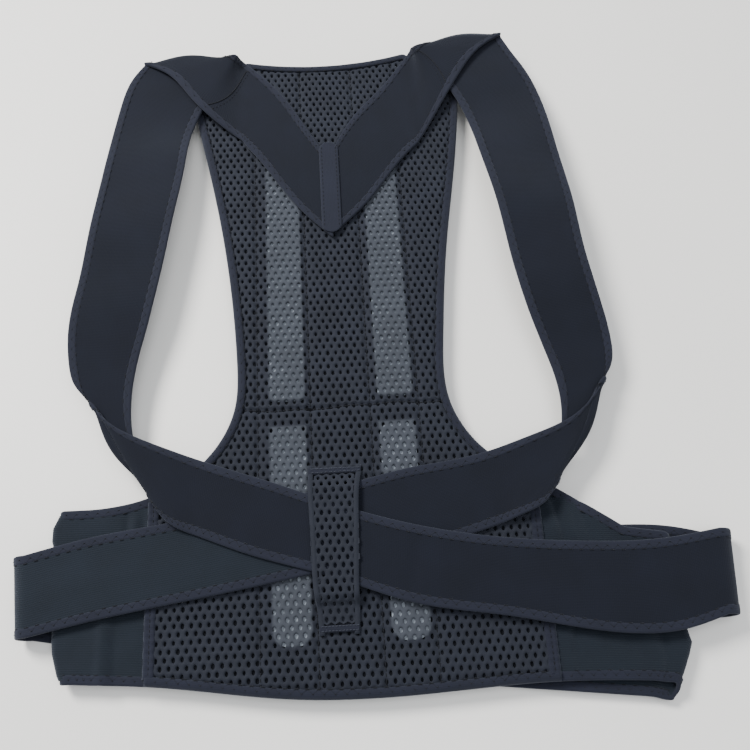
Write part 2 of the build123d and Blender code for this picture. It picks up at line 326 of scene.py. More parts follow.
def sweep(name, band, section, material):
    """Sweeps a closed section, given as (s, height) for a band's width, along the band."""
    s, h = section(band.width)
    total = h + band.lift(band.at[:, None], s, band.width[:, None])
    points = band.a[:, None] + band.across[:, None] * s[..., None] + band.n[:, None] * total[..., None]
    points = points + band.swell(band.at[:, None], s, band.width[:, None])
    points = pulled(points, band.fold_line)
    cloth = np.stack([np.broadcast_to(band.at[:, None], s.shape), s], -1)
    return make_piece(name, points.reshape(-1, 3), tube_faces(*s.shape), material, cloth.reshape(-1, 2))


def web_section(thickness, inset, ribs=0.0, pitch=1.1, grain=0.55):
    """The section of a band's cloth between its edge tapes, ribbed lengthwise on both faces."""

    def section(width):
        count = max(8, int(round((width.mean() - 2 * inset) / grain)))
        share = np.linspace(0, 1, count)
        s = inset + share[None] * (width[:, None] - 2 * inset)
        rib = ribs * np.cos(share[None] * (width.mean() - 2 * inset) * 2 * pi / pitch) * np.ones_like(s)
        top, bottom = thickness / 2 + rib, -thickness / 2 + rib
        return np.concatenate([s, s[:, ::-1]], 1), np.concatenate([top, bottom[:, ::-1]], 1)

    return section


def bars(starts, ends, radius, normals):
    """Short rounded bars of thread from starts to ends, as points and faces."""
    starts, ends, normals = (np.asarray(v, float) for v in (starts, ends, normals))
    along = unit(ends - starts)
    length = np.linalg.norm(ends - starts, axis=1)
    side = unit(np.cross(along, normals))
    up = np.cross(side, along)
    rings = [(0.0, 0.25), (0.12, 0.85), (0.5, 1.0), (0.88, 0.85), (1.0, 0.25)]
    sides = 6
    turn = np.arange(sides) * 2 * pi / sides
    points = []
    for share, scale in rings:
        centre = starts + along * (length * share)[:, None]
        centre = centre + up * (0.35 * radius * sin(pi * share))
        for angle in turn:
            points.append(centre + (side * cos(angle) + up * sin(angle)) * radius * scale)
    points = np.stack(points, 1)
    count = len(rings) * sides
    one = grid_faces(len(rings), sides, close_columns=True)
    caps = np.array([[0, 1, 2, 3], [0, 3, 4, 5]])
    last = (len(rings) - 1) * sides
    one = np.concatenate([one, caps[:, ::-1], caps + last])
    faces = (np.arange(len(starts)) * count)[:, None, None] + one[None]
    return points.reshape(-1, 3), faces.reshape(-1, 4)


# ---- materials ----
def start_material(name, colour, roughness, sheen=0.0, specular=0.16):
    """A Principled material with the numbers that are the same all over set on its own sockets."""
    made = bpy.data.materials.new(name)
    made.use_nodes = True
    tree = made.node_tree
    shader = tree.nodes["Principled BSDF"]
    shader.inputs["Base Color"].default_value = (*colour, 1)
    shader.inputs["Roughness"].default_value = roughness
    shader.inputs["Specular IOR Level"].default_value = specular
    shader.inputs["Sheen Weight"].default_value = sheen
    shader.inputs["Sheen Roughness"].default_value = 0.55
    shader.inputs["Sheen Tint"].default_value = (0.75, 0.82, 1.0, 1)
    return made, tree, shader


def node(tree, kind, inputs=None, **settings):
    """A new node with its settings, and its inputs set or linked."""
    made = tree.nodes.new(kind)
    for key, value in settings.items():
        setattr(made, key, value)
    for key, value in (inputs or {}).items():
        socket = made.inputs[key]
        if isinstance(value, bpy.types.NodeSocket):
            tree.links.new(value, socket)
        else:
            socket.default_value = value
    return made


def math_node(tree, operation, *values):
    return node(tree, "ShaderNodeMath", dict(enumerate(values)), operation=operation).outputs[0]


def mixed(tree, first, second, factor):
    """A mix of two colours or colour sockets."""
    inputs = {"Factor": factor, "A": first, "B": second}
    return node(tree, "ShaderNodeMix", inputs, data_type="RGBA").outputs["Result"]


def cloth_axes(tree):
    """The cloth's own coordinates, in metres, and the distances along and across it."""
    own = node(tree, "ShaderNodeAttribute", attribute_name="cloth").outputs["Vector"]
    split = node(tree, "ShaderNodeSeparateXYZ", {0: own})
    return own, split.outputs[0], split.outputs[1]


def noise(tree, vector, scale, detail=3.0):
    made = node(tree, "ShaderNodeTexNoise", {"Vector": vector, "Scale": scale, "Detail": detail})
    return made.outputs["Fac"]


def ridges(tree, coordinate, pitch):
    """A wave from 0 to 1 that repeats every pitch metres."""
    turn = math_node(tree, "MULTIPLY", coordinate, 2 * pi / pitch)
    return math_node(tree, "MULTIPLY_ADD", math_node(tree, "SINE", turn), 0.5, 0.5)


def tinted(tree, shader, dark, light, factor):
    """Colours the shader between two colours."""
    result = mixed(tree, (*dark, 1), (*light, 1), factor)
    tree.links.new(result, shader.inputs["Base Color"])
    return result


def raised(tree, shader, height, distance):
    """Bumps the shader's surface."""
    bump = node(tree, "ShaderNodeBump", {"Height": height, "Distance": distance, "Strength": 1.0})
    tree.links.new(bump.outputs["Normal"], shader.inputs["Normal"])


def scaled_colour(colour, factor):
    return tuple(c * factor for c in colour)


def cloth_material(name, colour, pitch_u, pitch_v, depth, fuzz, spread, sheen, roughness=0.85):
    """Cloth with yarns at a pitch along and across it, a fuzz of fibres, and patches of light wear.

    Pitches and the depth of the bumps are in metres. spread is how far the colour varies."""
    made, tree, shader = start_material(name, colour, roughness, sheen)
    own, u, v = cloth_axes(tree)
    yarns = math_node(tree, "MULTIPLY", ridges(tree, u, pitch_u), ridges(tree, v, pitch_v))
    fibres = noise(tree, own, fuzz, 4.0)
    patches = noise(tree, own, 38.0, 2.0)
    height = math_node(tree, "MULTIPLY_ADD", fibres, 0.6, yarns)
    lightness = math_node(tree, "MULTIPLY_ADD", fibres, 0.75, math_node(tree, "MULTIPLY", yarns, 0.25))
    lightness = math_node(tree, "MULTIPLY_ADD", patches, 0.45, lightness)
    lightness = math_node(tree, "MULTIPLY_ADD", lightness, 1.3, -0.45)
    dark, light = scaled_colour(colour, 1 - spread), scaled_colour(colour, 1 + 1.6 * spread)
    tinted(tree, shader, dark, light, lightness)
    raised(tree, shader, height, depth)
    rough = math_node(tree, "MULTIPLY_ADD", fibres, 0.2, roughness - 0.1)
    tree.links.new(rough, shader.inputs["Roughness"])
    return made


NAVY = (0.0026, 0.0036, 0.0078)
TAPE = (0.0076, 0.0090, 0.0165)
ELASTIC = (0.0042, 0.0072, 0.0118)
LINING = (0.0062, 0.0075, 0.0120)
FOAM = (0.0020, 0.0026, 0.0045)
THREAD = (0.0008, 0.0010, 0.0022)
PALE_THREAD = (0.014, 0.016, 0.024)
HOOKS = (0.0100, 0.0105, 0.0140)
LOOPS = (0.0150, 0.0160, 0.0220)
strap_cloth = cloth_material("strap_cloth", NAVY, 0.0011, 0.0009, 0.00012, 1500.0, 0.4, 0.1, 0.9)
tape_cloth = cloth_material("tape_cloth", TAPE, 0.0007, 0.0010, 0.00010, 1100.0, 0.35, 0.1)
elastic_cloth = cloth_material("elastic_cloth", ELASTIC, 0.0006, 0.0013, 0.0002, 1300.0, 0.35, 0.12)
lining_cloth = cloth_material("lining_cloth", LINING, 0.0008, 0.0008, 0.0001, 1200.0, 0.3, 0.2)
foam_core = cloth_material("foam_core", FOAM, 0.0016, 0.0016, 0.0003, 900.0, 0.5, 0.0, 0.95)
thread = cloth_material("thread", THREAD, 0.0004, 0.0004, 0.00005, 2500.0, 0.3, 0.1, 0.8)
pale_thread = cloth_material("pale_thread", PALE_THREAD, 0.0004, 0.0004, 0.00005, 2500.0, 0.3, 0.2, 0.7)
hook_cloth = cloth_material("hook_cloth", HOOKS, 0.0015, 0.0015, 0.0006, 700.0, 0.6, 0.0, 0.6)
loop_cloth = cloth_material("loop_cloth", LOOPS, 0.0009, 0.0009, 0.0004, 900.0, 0.5, 0.5, 0.95)


def knit_material():
    """Spacer mesh: fine dark filaments, sheer enough for a pale stay to show through."""
    dark, pale = (0.0070, 0.0086, 0.0140), (0.0300, 0.0345, 0.0440)
    made, tree, shader = start_material("knit", dark, 0.75, 0.1)
    own, u, v = cloth_axes(tree)
    sheer = node(tree, "ShaderNodeAttribute", attribute_name="over_stay").outputs["Fac"]
    fibres = noise(tree, own, 2200.0, 3.0)
    patches = noise(tree, own, 45.0, 2.0)
    lightness = math_node(tree, "MULTIPLY_ADD", fibres, 0.8, math_node(tree, "MULTIPLY", patches, 0.6))
    lightness = math_node(tree, "MULTIPLY_ADD", lightness, 1.2, -0.35)
    plain = tinted(tree, shader, scaled_colour(dark, 0.6), scaled_colour(dark, 1.7), lightness)
    shown = mixed(tree, (*scaled_colour(pale, 0.6), 1), (*scaled_colour(pale, 1.4), 1), lightness)
    tree.links.new(mixed(tree, plain, shown, sheer), shader.inputs["Base Color"])
    raised(tree, shader, fibres, 0.00015)
    return made


def plastic_material():
    """The stays' pale moulded plastic, faintly brushed along its length."""
    made, tree, shader = start_material("stay_plastic", (0.16, 0.18, 0.21), 0.55, 0.0, 0.3)
    own = node(tree, "ShaderNodeTexCoord").outputs["Object"]
    stretched = node(tree, "ShaderNodeMapping", {"Vector": own, "Scale": (900.0, 60.0, 60.0)})
    grain = noise(tree, stretched.outputs[0], 1.0, 3.0)
    tinted(tree, shader, (0.13, 0.15, 0.18), (0.19, 0.215, 0.25), grain)
    raised(tree, shader, grain, 0.00008)
    return made


def floor_material():
    made, tree, shader = start_material("floor", (0.74, 0.73, 0.705), 0.45, 0.0, 0.3)
    own = node(tree, "ShaderNodeTexCoord").outputs["Object"]
    tinted(tree, shader, (0.72, 0.71, 0.685), (0.76, 0.75, 0.725), noise(tree, own, 6.0, 2.0))
    return made


knit = knit_material()
stay_plastic = plastic_material()

# ---- camera, floor and light ----
camera_data = bpy.data.cameras.new("camera")
FIELD_OF_VIEW = 45.0
camera_data.sensor_width = 36
camera_data.lens = 18 / np.tan(radians(FIELD_OF_VIEW / 2))
camera_data.clip_start, camera_data.clip_end = 0.01, 20
camera = bpy.data.objects.new("camera", camera_data)
bpy.context.collection.objects.link(camera)
bpy.context.scene.camera = camera
camera.location = Vector((0.0091, -0.0882, 0.5608))
aim = Vector((0.0230, 0.1460, -0.0084))
camera.rotation_mode = "QUATERNION"
camera.rotation_quaternion = (aim - camera.location).to_track_quat("-Z", "Y")

FLOOR_HALF = 3000
floor_corners = [(x * FLOOR_HALF, y * FLOOR_HALF, FLOOR_Z) for x, y in ((-1, -1), (1, -1), (1, 1), (-1, 1))]
floor = make_piece("floor", floor_corners, [(0, 1, 2, 3)], floor_material())


def area_light(name, place, target, size, power, colour):
    data = bpy.data.lights.new(name, "AREA")
    data.shape = "DISK"
    data.size = size
    data.energy = power
    data.color = colour
    lamp = bpy.data.objects.new(name, data)
    bpy.context.collection.objects.link(lamp)
    lamp.location = place
    lamp.rotation_mode = "QUATERNION"
    lamp.rotation_quaternion = (Vector(target) - Vector(place)).to_track_quat("-Z", "Y")


area_light("window", (-0.95, 0.95, 1.35), (0.0, 0.15, 0.0), 0.7, 62.0, (1.0, 0.985, 0.96))
area_light("ceiling", (0.35, -0.1, 1.9), (0.0, 0.15, 0.0), 1.4, 22.0, (0.95, 0.97, 1.0))
world = bpy.data.worlds.new("studio")
bpy.context.scene.world = world
world.use_nodes = True
background = world.node_tree.nodes["Background"]
background.inputs["Color"].default_value = (0.93, 0.96, 1.0, 1)
background.inputs["Strength"].default_value = 0.74

# ---- the back's outline ----
LEFT_NECK, RIGHT_NECK = (-62, 408), (61, 410)
LEFT_SHOULDER, RIGHT_SHOULDER = (-100, 361), (100, 372)
RIGHT_CORNER, RIGHT_DIP = (156, 41.5), (172, 30)
neckline = arc(LEFT_NECK, (0, 401.5), RIGHT_NECK)
right_slope = straight(RIGHT_NECK, RIGHT_SHOULDER)
right_side = through(
    [RIGHT_SHOULDER, (92.5, 315), (78.5, 233), (70.5, 165), (71, 120), (90, 86), (131, 58), RIGHT_CORNER]
)
right_top = joined(straight(RIGHT_CORNER, RIGHT_DIP), straight(RIGHT_DIP, (207, 24)))
bottom = through([(207, -64), (112, -58.5), (40, -61), (-40, -59), (-117, -48), (-188, -43)])
left_side = through(
    [(-188, 61), (-128, 65), (-88, 90), (-71, 121), (-69, 155), (-81, 267), LEFT_SHOULDER]
)
left_slope = straight(LEFT_SHOULDER, LEFT_NECK)
outline = joined(neckline, right_slope, right_side, right_top, bottom, left_side, left_slope)
coarse_outline = respaced(np.concatenate([outline, outline[:1]]), 4.0)[:-1]


def height_at(line, x):
    """The y of a line at an x, for a line that goes steadily across."""
    order = np.argsort(line[:, 0])
    return np.interp(x, line[order, 0], line[order, 1])


def stay_cover(x, y):
    """How far a point of the mesh lies over a stay, from 0 to 1."""
    cover = 0.0
    half = STAY_WIDTH / 2 + 0.6
    for (low, high), end in ((UPPER_STAYS, 4.0), (LOWER_STAYS, 9.0)):
        corner = np.clip(end - (y - low), 0, end)
        narrow = end - np.sqrt(np.maximum(end**2 - corner**2, 0))
        lengthwise = smoothstep(y, low - 0.5, low + 0.9) * smoothstep(high - y, -0.6, 0.9)
        for centre in STAY_X:
            sideways = smoothstep(half - narrow - np.abs(x - centre), -0.5, 0.9)
            cover = np.maximum(cover, sideways * lengthwise)
    return cover


def seam_line(x):
    """The y of the lumbar seam, which wanders a little."""
    return SEAM_Y + 0.9 * np.sin(x * 0.055) + 0.4 * np.sin(x * 0.19 + 1)


def mesh_height(x, y, edge):
    """The top of the spacer mesh, with its channel seams, the lumbar seam and its pull at the edges."""
    height = 4.85 + 0.22 * drift(x, y, 3, 70.0) + 0.35 * stay_cover(x, y)
    for k, seam in enumerate(CHANNEL_SEAMS):
        width = 1.5 if k == 0 else 1.7
        depth = 1.25 + 0.2 * np.sin(y * 0.8 + k)
        height = height - depth * bell(x, seam, width)
    height = height - 1.35 * bell(y, seam_line(x), 1.3) * (np.abs(x) < 75)
    return height - 1.1 * smoothstep(7.5 - edge, 0, 2.5)


# ---- spacer mesh: a lattice of oval holes ----
# A cell's rim, in quarters of a hole's pitch across and sixths of a row up.
RIM = np.array(
    [(2, 0), (2, 2), (1, 3), (0, 4), (-1, 3), (-2, 2), (-2, 0), (-2, -2), (-1, -3), (0, -4), (1, -3), (2, -2)]
)
HOLE = (1.08, 1.62)  # half a hole's width and height


def lattice(columns, rows, keep, pitch, row, seed):
    """Cells of the mesh as rings of points: rim, shoulder, lip and wall. keep says which centres are in.

    Returns points as (x, y), how far each lies below the strand's crest, and faces."""
    i, j = (g.ravel() for g in np.meshgrid(np.arange(*columns), np.arange(*rows), indexing="ij"))
    key_x, key_y = 4 * i + 2 * (j % 2), 6 * j
    centre = np.stack([key_x * pitch / 4, key_y * row / 6], 1)
    kept = keep(centre)
    key_x, key_y, centre = key_x[kept], key_y[kept], centre[kept]
    count = len(centre)
    rng = np.random.default_rng(seed)
    keys = np.stack([key_x[:, None] + RIM[None, :, 0], key_y[:, None] + RIM[None, :, 1]], -1)
    unique, index = np.unique(keys.reshape(-1, 2), axis=0, return_inverse=True)
    index = index.reshape(count, 12)
    rim = unique * np.array([pitch / 4, row / 6])
    rim = rim + rng.normal(0, 0.07, rim.shape)
    angle = np.arange(12) * pi / 6
    size = 1 + rng.normal(0, 0.07, (count, 1))
    shift = rng.normal(0, 0.1, (count, 1, 2))
    oval = np.stack([HOLE[0] * np.cos(angle) * size, HOLE[1] * np.sin(angle) * size], -1)
    lip = centre[:, None] + oval + shift
    shoulder = 0.42 * rim[index] + 0.58 * lip
    wall = centre[:, None] + oval * 0.93 + shift
    points = np.concatenate([rim, *(ring.reshape(-1, 2) for ring in (shoulder, lip, wall))])
    drop = np.concatenate([np.zeros(len(rim)), np.repeat([0.06, 0.5, 1.5], 12 * count)])
    around = (np.arange(12) + 1) % 12
    cells = len(rim) + np.arange(12 * count).reshape(count, 12)
    rings = [index, *(cells + k * 12 * count for k in range(3))]
    faces = []
    for outer, inner in zip(rings, rings[1:]):
        faces.append(np.stack([outer, outer[:, around], inner[:, around], inner], -1).reshape(-1, 4))
    return points, drop, np.concatenate(faces)


def panel_mesh(name, low, high, nodes):
    """One panel of spacer mesh, between two heights on the back."""

    def keep(centre):
        within = (centre[:, 1] > low) & (centre[:, 1] < high)
        within &= (centre[:, 0] > LEFT_SEAM_X - 1) & (centre[:, 0] < RIGHT_SEAM_X + 1)
        within[within] = inside(coarse_outline, centre[within])
        within[within] = edge_distance(coarse_outline, centre[within]) > 3.0
        return within

    rows = (int(low / HOLE_ROW) - 2, int(high / HOLE_ROW) + 2)
    points, drop, faces = lattice((-26, 26), rows, keep, HOLE_PITCH, HOLE_ROW, 11)
    x, y = points[:, 0], points[:, 1]
    edge = edge_distance(coarse_outline, points)
    placed = np.column_stack([points, mesh_height(x, y, edge) - drop])
    piece = make_piece(name, placed, faces, knit, points, {"over_stay": stay_cover(x, y)})
    held("back_panel", "spacer_mesh", piece)
    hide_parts(*nodes)
    return piece


MESH_SPLIT_Y = SEAM_Y + HOLE_ROW / 2  # between two rows of holes, so that none is lost
upper_mesh = panel_mesh("upper_spacer_mesh", MESH_SPLIT_Y, 420.0, ["upper_back_mesh"])
lumbar_mesh = panel_mesh("lumbar_spacer_mesh", -70.0, MESH_SPLIT_Y, ["lumbar_mesh"])


# ---- core and lining under the mesh ----
def lines_between(low, high, step, cuts):
    """Grid lines from low to high, with some of them exactly at the cuts."""
    lines = np.arange(low, high + step, step)
    for cut in cuts:
        lines[np.argmin(np.abs(lines - cut))] = cut
    return np.unique(lines)


SLOT_HALF = 12  # half the width of a stay's slot in the foam
LAYER_STEP = 2.9


def flat_layer(name, low, high, top, under, material, slots):
    """A flat layer of the back as a grid inside the outline, with slots for the stays."""
    cuts_x = [c for x, _, _ in slots for c in (x - SLOT_HALF, x + SLOT_HALF)]
    cuts_y = [c for _, a, b in slots for c in (a - 0.5, b + 0.5)]
    xs = lines_between(LEFT_SEAM_X + 0.5, RIGHT_SEAM_X - 0.5, LAYER_STEP, cuts_x)
    ys = lines_between(low, high, LAYER_STEP, cuts_y)
    gx, gy = np.meshgrid(xs, ys)
    points = np.stack([gx.ravel(), gy.ravel()], 1)
    near = inside(coarse_outline, points)
    near[near] = edge_distance(coarse_outline, points[near]) > 0.9
    quads = grid_faces(len(ys), len(xs))
    middle = points[quads].mean(1)
    kept = near[quads].all(1)
    for x, a, b in slots:
        within = (middle[:, 1] > a - 0.5) & (middle[:, 1] < b + 0.5)
        kept &= ~((np.abs(middle[:, 0] - x) < SLOT_HALF) & within)
    quads = quads[kept]
    used, quads = np.unique(quads, return_inverse=True)
    quads = quads.reshape(-1, 4)
    points = points[used]
    z = top(points[:, 0], points[:, 1])
    if under is None:
        return make_piece(name, np.column_stack([points, z]), quads[:, ::-1], material, points)
    count = len(points)
    body = np.concatenate([np.column_stack([points, z]), np.column_stack([points, under + 0 * z])])
    edges = np.concatenate([quads[:, [k, (k + 1) % 4]] for k in range(4)])
    order = np.sort(edges, axis=1)
    _, first, uses = np.unique(order, axis=0, return_index=True, return_counts=True)
    rim = edges[first[uses == 1]]
    sides = np.stack([rim[:, 1], rim[:, 0], rim[:, 0] + count, rim[:, 1] + count], 1)
    faces = np.concatenate([quads, quads[:, ::-1] + count, sides])
    return make_piece(name, body, faces, material, np.concatenate([points, points]))


def lining_height(x, y):
    """The lining's face, drawn in at the channel seams."""
    height = 0.35 + 0.12 * drift(x, y, 8, 60.0)
    for seam in CHANNEL_SEAMS:
        height = height + 0.7 * bell(x, seam, 1.8)
    return height


for panel, low, high, stays, flat_size, cut_area in (
    ("upper_back", SEAM_Y - 1.5, 410.0, UPPER_STAYS, (0.190, 0.290), 0.0435),
    ("lumbar", -64.0, SEAM_Y - 1.5, LOWER_STAYS, (0.242, 0.182), 0.0350),
):
    slots = [(x, *stays) for x in STAY_X]
    core = flat_layer(f"{panel}_core", low, high, lambda x, y: 3.05 + 0 * x, 1.3, foam_core, slots)
    held("back_panel", "foam", core)
    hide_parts(f"{panel}_foam")
    lining = flat_layer(f"{panel}_lining_cloth", low, high, lining_height, None, lining_cloth, [])
    held("back_panel", "lining_fabric", lining)
    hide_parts(f"{panel}_lining")

for name in ("upper_stay_left", "upper_stay_right", "lower_stay_left", "lower_stay_right"):
    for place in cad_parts[name].material_slots:
        place.material = stay_plastic


# ---- tapes bound over an edge ----
# The tape's section on the back panel: how far in from the edge, and the height over the wearer's side.
PANEL_TAPE = [
    (5.5, 4.9), (5.0, 5.35), (4.2, 5.6), (3.2, 5.7), (2.3, 5.6), (1.3, 5.2), (0.5, 4.4), (0.05, 3.4),
    (-0.1, 2.7), (0.05, 1.9), (0.5, 1.0), (1.3, 0.4), (2.4, 0.1), (3.6, 0.05), (4.6, 0.15), (5.5, 0.7),
]  # fmt: skip


def outward(faces, points):
    """The faces of a closed mesh, turned so that they look outward."""
    a, b, c = (points[faces[:, k]] for k in range(3))
    d = points[faces[:, -1]]
    volume = (np.cross(a, b) * c).sum() + (np.cross(a, c) * d).sum()
    return faces if volume > 0 else faces[:, ::-1]


def edge_tape(name, path, inward, normal, shape, material, pucker=0.22, wander=None):
    """A tape along an edge, from the edge's points, the way in from it and the face's normal there."""
    shape = np.array(shape)
    rows, columns = len(path), len(shape)
    s = np.broadcast_to(shape[:, 0], (rows, columns)).copy()
    h = np.broadcast_to(shape[:, 1], (rows, columns)).copy()
    middle = bell(shape[:, 0], 2.7, 1.0) * (shape[:, 1] > shape[:, 1].mean())
    beat = (np.arange(rows) % 4 == 0)[:, None] * middle[None]
    h -= pucker * beat
    if wander is not None:
        h += wander[:, None]
    points = path[:, None] + inward[:, None] * s[..., None] + normal[:, None] * h[..., None]
    at = chord(path)
    cloth = np.stack([np.broadcast_to(at[:, None], s.shape), s], -1).reshape(-1, 2)
    points = points.reshape(-1, 3)
    return make_piece(name, points, outward(tube_faces(rows, columns), points), material, cloth)


def seam_stitches(path, inward, normal, dot, dash, heights):
    """Needle marks along the middle of a tape, and the stitch dashes that hold its inner edge.

    path has four sections to a stitch. heights are the tape's face at the two rows."""
    starts, ends, normals = [], [], []
    along = unit(np.gradient(path, axis=0))
    rows = np.arange(4, len(path) - 4, 4)
    between = rows[:-1] + 2
    for place, height, reach in ((dot, heights[0], 0.55), (dash, heights[1], 1.5)):
        at = rows if place == dot else between
        centre = path[at] + inward[at] * place + normal[at] * height
        starts.append(centre - along[at] * reach)
        ends.append(centre + along[at] * reach)
        normals.append(normal[at])
    first = path[rows] + inward[rows] * dot + normal[rows] * (heights[0] + 0.08)
    after = path[between] + inward[between] * dash + normal[between] * (heights[1] + 0.1)
    zig = bars(first[:-1], after, 0.13, normal[rows[:-1]])
    zag = bars(after, first[1:], 0.13, normal[rows[1:]])
    thick = bars(np.concatenate(starts), np.concatenate(ends), 0.34, np.concatenate(normals))
    return merged([zig, zag, thick])


def merged(parts):
    """Several (points, faces) as one."""
    points, faces, count = [], [], 0
    for p, f in parts:
        points.append(p)
        faces.append(f + count)
        count += len(p)
    return np.concatenate(points), np.concatenate(faces)


def stitch_piece(name, parts, material):
    points, faces = merged(parts)
    return make_piece(name, points, faces, material, points[:, :2])


def panel_binding(name, line, node_name):
    """The tape bound over one stretch of the back panel's outline, with the panel on the line's right."""
    line = softened(respaced(line, TAPE_STEP), 3)
    along = unit(np.gradient(line, axis=0))
    inward = np.column_stack([along[:, 1], -along[:, 0], np.zeros(len(line))])
    path = np.column_stack([line, np.zeros(len(line))])
    normal = np.broadcast_to(UP, path.shape)
    wander = 0.12 * drift(line[:, 0], line[:, 1], 21, 33.0)
    piece = edge_tape(name, path, inward, normal, PANEL_TAPE, tape_cloth, wander=wander)
    top = seam_stitches(path, inward, normal, 2.9, 5.7, (5.5, 5.15))
    under = seam_stitches(path, inward, -normal, 2.9, 5.7, (-0.05, -0.6))
    held("back_panel", "binding_tape", piece, stitch_piece(f"{name}_stitching", [top, under], thread))
    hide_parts(node_name)


def stretch(line, low=-np.inf, high=np.inf):
    """The part of a line between two values of x."""
    return line[(line[:, 0] >= low) & (line[:, 0] <= high)]


tape_ends = {"low": LEFT_SEAM_X - 3, "high": RIGHT_SEAM_X + 3}
panel_binding("neckline_tape", joined(left_slope, neckline, right_slope), "neckline_binding")
panel_binding("left_side_tape", stretch(left_side, low=tape_ends["low"]), "left_side_binding")
panel_binding("right_side_tape", stretch(right_side, high=tape_ends["high"]), "right_side_binding")
panel_binding("hem_tape", stretch(bottom, **tape_ends), "hem_binding")


# ---- sewn lines on the back panel ----
def sewn_line(line, height, gap, reach, radius):
    """Stitches along a line on the mesh."""
    line = respaced(line, gap)
    along = unit(np.gradient(line, axis=0))
    z = height(line[:, 0], line[:, 1])
    centre = np.column_stack([line, z])
    tangent = np.column_stack([along, np.gradient(z) / gap])
    normals = np.broadcast_to(UP, centre.shape)
    return bars(centre - tangent * reach, centre + tangent * reach, radius, normals)


def seam_height(x, y):
    return mesh_height(x, y, np.full(np.shape(x), 20.0)) + 0.12


channel_lines = []
for seam in CHANNEL_SEAMS:
    y_low = height_at(bottom, seam) + 6
    y_high = height_at(neckline, seam) - 7
    channel_lines.append(sewn_line(straight((seam, y_low), (seam, y_high)), seam_height, 3.2, 1.15, 0.3))
channel_stitching = stitch_piece("channel_stitching", channel_lines, thread)
xs = np.arange(-66, 67, 1.0)
lumbar_seam = np.column_stack([xs, seam_line(xs)])
lumbar_line = sewn_line(lumbar_seam, seam_height, 2.8, 1.05, 0.42)
lumbar_stitching = stitch_piece("lumbar_seam_stitching", [lumbar_line], thread)
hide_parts("lumbar_seam_tape")
held("back_panel", "binding_tape", channel_stitching, lumbar_stitching)


# ---- bands: stations as (x, y of edge a, x, y of edge b, height) ----
def monotone(values, at, where):
    """A curve through values that never overshoots them."""
    step = np.diff(at)
    slope = np.diff(values) / step
    lean = np.zeros(len(values))
    lean[0], lean[-1] = slope[0], slope[-1]
    for i in range(1, len(values) - 1):
        if slope[i - 1] * slope[i] > 0:
            lean[i] = 2 * slope[i - 1] * slope[i] / (slope[i - 1] + slope[i])
    k = np.clip(np.searchsorted(at, where, side="right") - 1, 0, len(step) - 1)
    t = (where - at[k]) / step[k]
    first = (1 + 2 * t) * (1 - t) ** 2 * values[k] + t * (1 - t) ** 2 * step[k] * lean[k]
    return first + t**2 * (3 - 2 * t) * values[k + 1] + t**2 * (t - 1) * step[k] * lean[k + 1]


def run(rows, hint, step=2.0):
    """A flat stretch, smoothly through its rows."""
    rows = np.array(rows, float)
    middle = np.column_stack([(rows[:, 0:2] + rows[:, 2:4]) / 2, rows[:, 4]])
    at = chord(middle)
    where = even_steps(at[-1], step, 3)
    flat = cubic(rows[:, :4], at, where)
    z = monotone(rows[:, 4], at, where)
    a, b = np.column_stack([flat[:, :2], z]), np.column_stack([flat[:, 2:], z])
    along = np.gradient((a + b) / 2, axis=0)
    normal = unit(np.cross(b - a, along))
    normal *= np.sign((normal * (UP * hint)).sum(1, keepdims=True))
    return a, b, normal


def turn(fold, axis_z, radius, from_top):
    """A half turn about a fold line, given as its place on edge a, the one on edge b and the way out."""
    a, b, out = fold
    steps = np.linspace(0, pi, 13)
    angle = steps if from_top else pi - steps
    way = unit(np.array([*out, 0.0]))
    normal = way[None] * np.sin(angle)[:, None] + UP[None] * np.cos(angle)[:, None]
    shift = normal * radius + UP * axis_z
    ends = [np.array([*p, 0.0])[None] + shift for p in (a, b)]
    return ends[0], ends[1], normal


def band_of(*stretches):
    """One band from stretches that follow each other."""
    a, b, n = (np.concatenate(part) for part in zip(*stretches))
    keep = np.concatenate([[True], np.linalg.norm(np.diff((a + b) / 2, axis=0), axis=1) > 0.05])
    return Band(a[keep], b[keep], n[keep])


# Each fold of the straps: where it crosses edge a and edge b, and the way out of it.
LEFT_SHOULDER_FOLD = ((-137.5, 402), (-72, 404), (-0.05, 1))
RIGHT_SHOULDER_FOLD = ((136.3, 414.5), (75, 408), (-0.1, 0.99))
LEFT_HIP_FOLD = ((-162.8, 130), (-122.5, 67.3), (-0.84, -0.54))
RIGHT_HIP_FOLD = ((172.6, 128.5), (129.8, 58.3), (0.85, -0.52))
LEFT_END_FOLD = ((228, 24.5), (223.5, -27), (1, 0))
RIGHT_END_FOLD = ((-199, 33), (-194, -16), (-1, 0))
FOLD_RADIUS = 1.3
SHOULDER_Z, HIP_Z = 13.5, 10.5


def station(fold, z):
    return *fold[0], *fold[1], z


